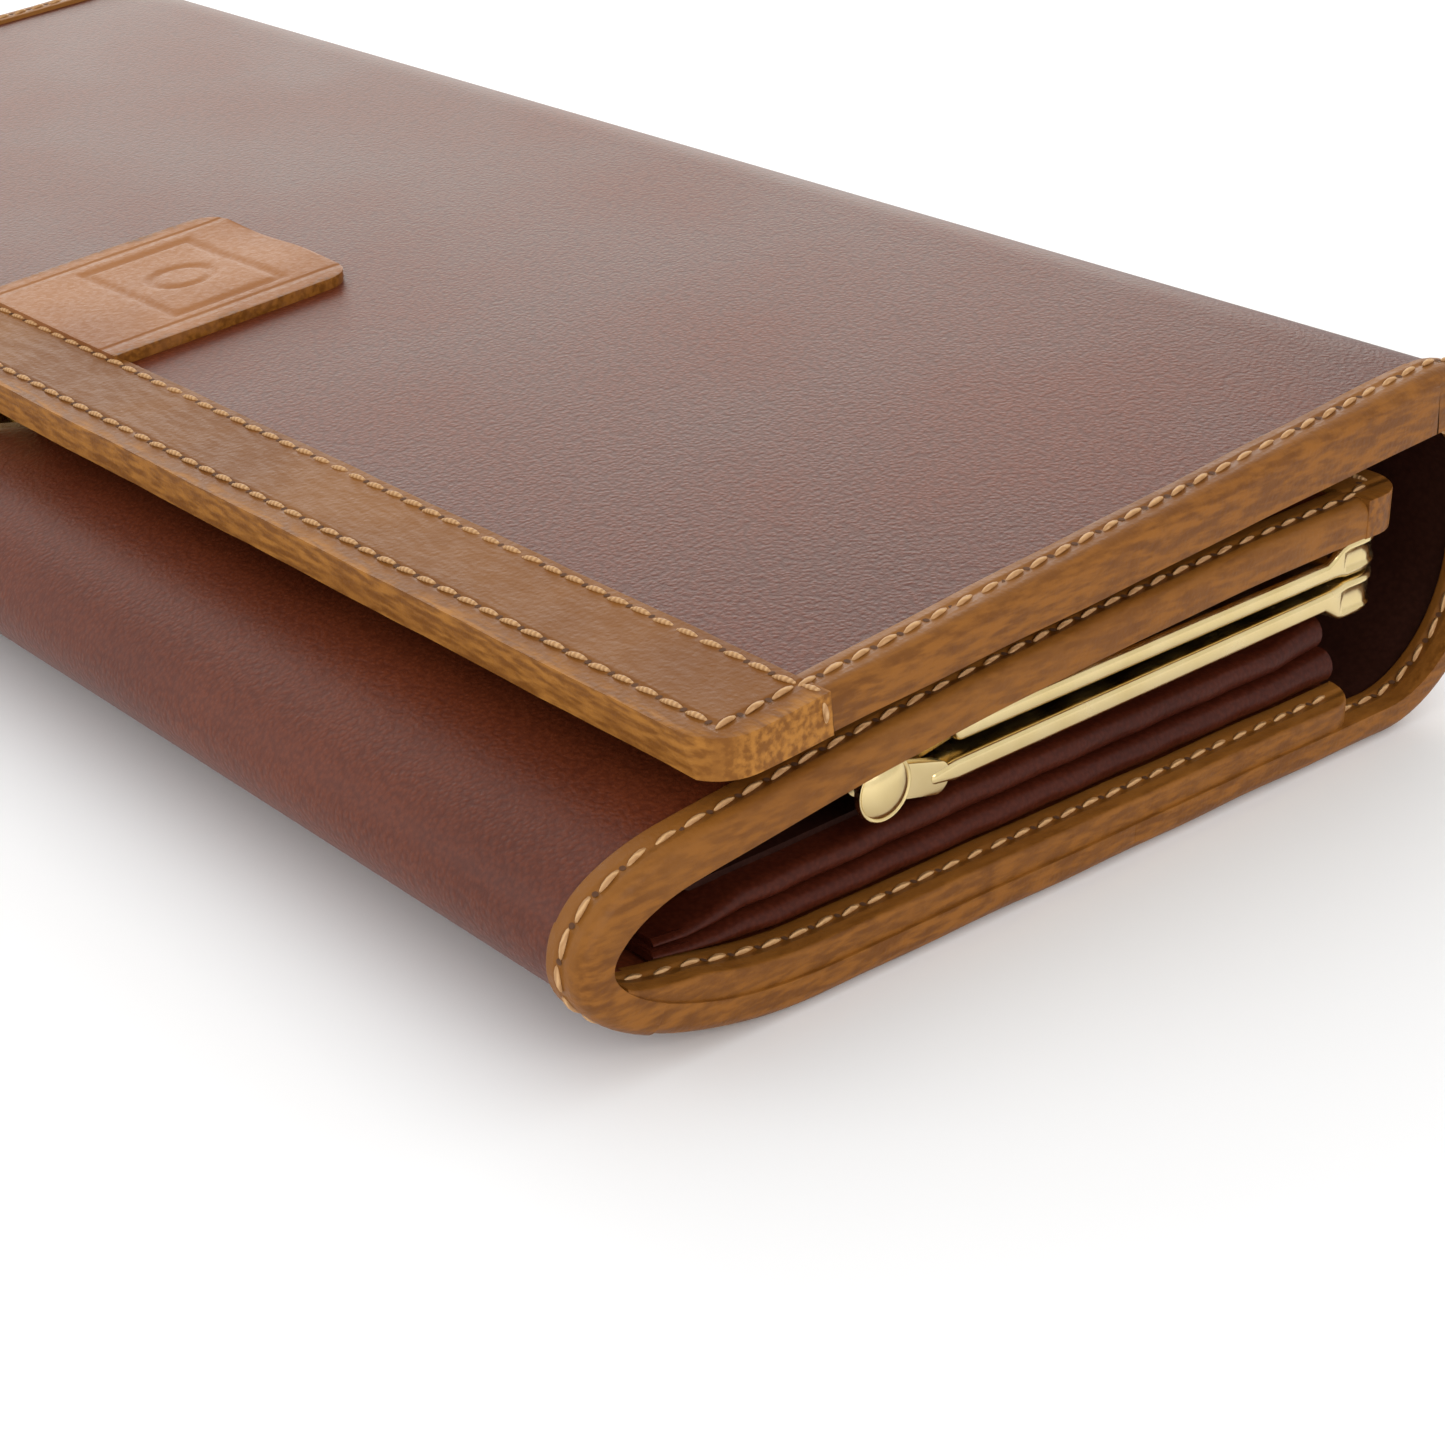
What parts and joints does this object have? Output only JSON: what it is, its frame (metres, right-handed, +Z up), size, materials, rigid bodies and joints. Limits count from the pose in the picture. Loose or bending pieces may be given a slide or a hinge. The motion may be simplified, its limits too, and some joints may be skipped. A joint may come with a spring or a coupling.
{
  "type": "long wallet",
  "caption": "Long leather wallet with a wrap-over flap, bound and stitched edges, a sewn-on label tab, accordion side gussets and a brass-framed coin purse inside.",
  "frame": {"origin": "centre of the bounding box in plan, on the table under the wallet as it lies on its back", "axes": "+X along the length to the right end, +Y from the front fold toward the spine, +Z up through the flap"},
  "size_m": [0.19, 0.0894, 0.0284],
  "materials": {
    "brown_leather": "fine-grained brown leather, satin",
    "tan_leather": "tan vegetable-tanned leather, worn and darkened at the edges",
    "dark_leather": "smooth dark brown lining leather",
    "brass": "pale gold plated, polished"
  },
  "bodies": {
    "back": {"back_leather": "brown_leather", "back_lining": "dark_leather", "back_binding_right": "tan_leather", "back_binding_left": "tan_leather", "leaf_panel": "brown_leather", "leaf_binding_right": "tan_leather", "leaf_binding_left": "tan_leather", "frame_lower": "brass", "kiss_ball_lower": "brass", "hinge_rivet_right": "brass", "hinge_rivet_left": "brass", "purse_lower_leather": "dark_leather", "gusset_lower_right": "dark_leather", "gusset_lower_left": "dark_leather", "gusset_upper_right": "dark_leather", "gusset_upper_left": "dark_leather", "gusset_purse_right": "dark_leather", "gusset_purse_left": "dark_leather"},
    "spine": {"spine_leather": "brown_leather", "spine_lining": "dark_leather", "spine_binding_right": "tan_leather", "spine_binding_left": "tan_leather"},
    "flap": {"flap_leather": "brown_leather", "flap_lining": "dark_leather", "flap_front_band": "tan_leather", "flap_binding_right": "tan_leather", "flap_binding_left": "tan_leather", "label_tab": "tan_leather", "snap_socket": "brass"},
    "front_panel": {"front_leather": "brown_leather", "front_lining": "dark_leather", "front_binding_right": "tan_leather", "front_binding_left": "tan_leather", "front_mouth_binding": "tan_leather", "snap_stud": "brass", "gusset_front_right": "dark_leather", "gusset_front_left": "dark_leather"},
    "purse_frame": {"frame_upper": "brass", "kiss_ball_upper": "brass", "purse_upper_leather": "dark_leather"}
  },
  "joints": [
    {"name": "spine_hinge", "type": "hinge", "parent": "back", "child": "spine", "pos_m": [0, 0.04118, 0.00351], "axis": [-1, 0, 0], "range_deg": [0, 90]},
    {"name": "flap_hinge", "type": "hinge", "parent": "spine", "child": "flap", "pos_m": [0, 0.04206, 0.02576], "axis": [-1, 0, 0], "range_deg": [0, 95]},
    {"name": "front_panel_hinge", "type": "hinge", "parent": "back", "child": "front_panel", "pos_m": [0, -0.0447, 0.0087], "axis": [1, 0, 0], "range_deg": [0, 18]},
    {"name": "purse_frame_hinge", "type": "hinge", "parent": "back", "child": "purse_frame", "pos_m": [0, -0.0182, 0.0119], "axis": [1, 0, 0], "range_deg": [0, 25.2]}
  ],
  "couplings": [
    {"joint": "flap_hinge", "follows": "spine_hinge", "ratio": 1.0556},
    {"joint": "front_panel_hinge", "follows": "spine_hinge", "ratio": 0.2},
    {"joint": "purse_frame_hinge", "follows": "spine_hinge", "ratio": 0.28}
  ]
}
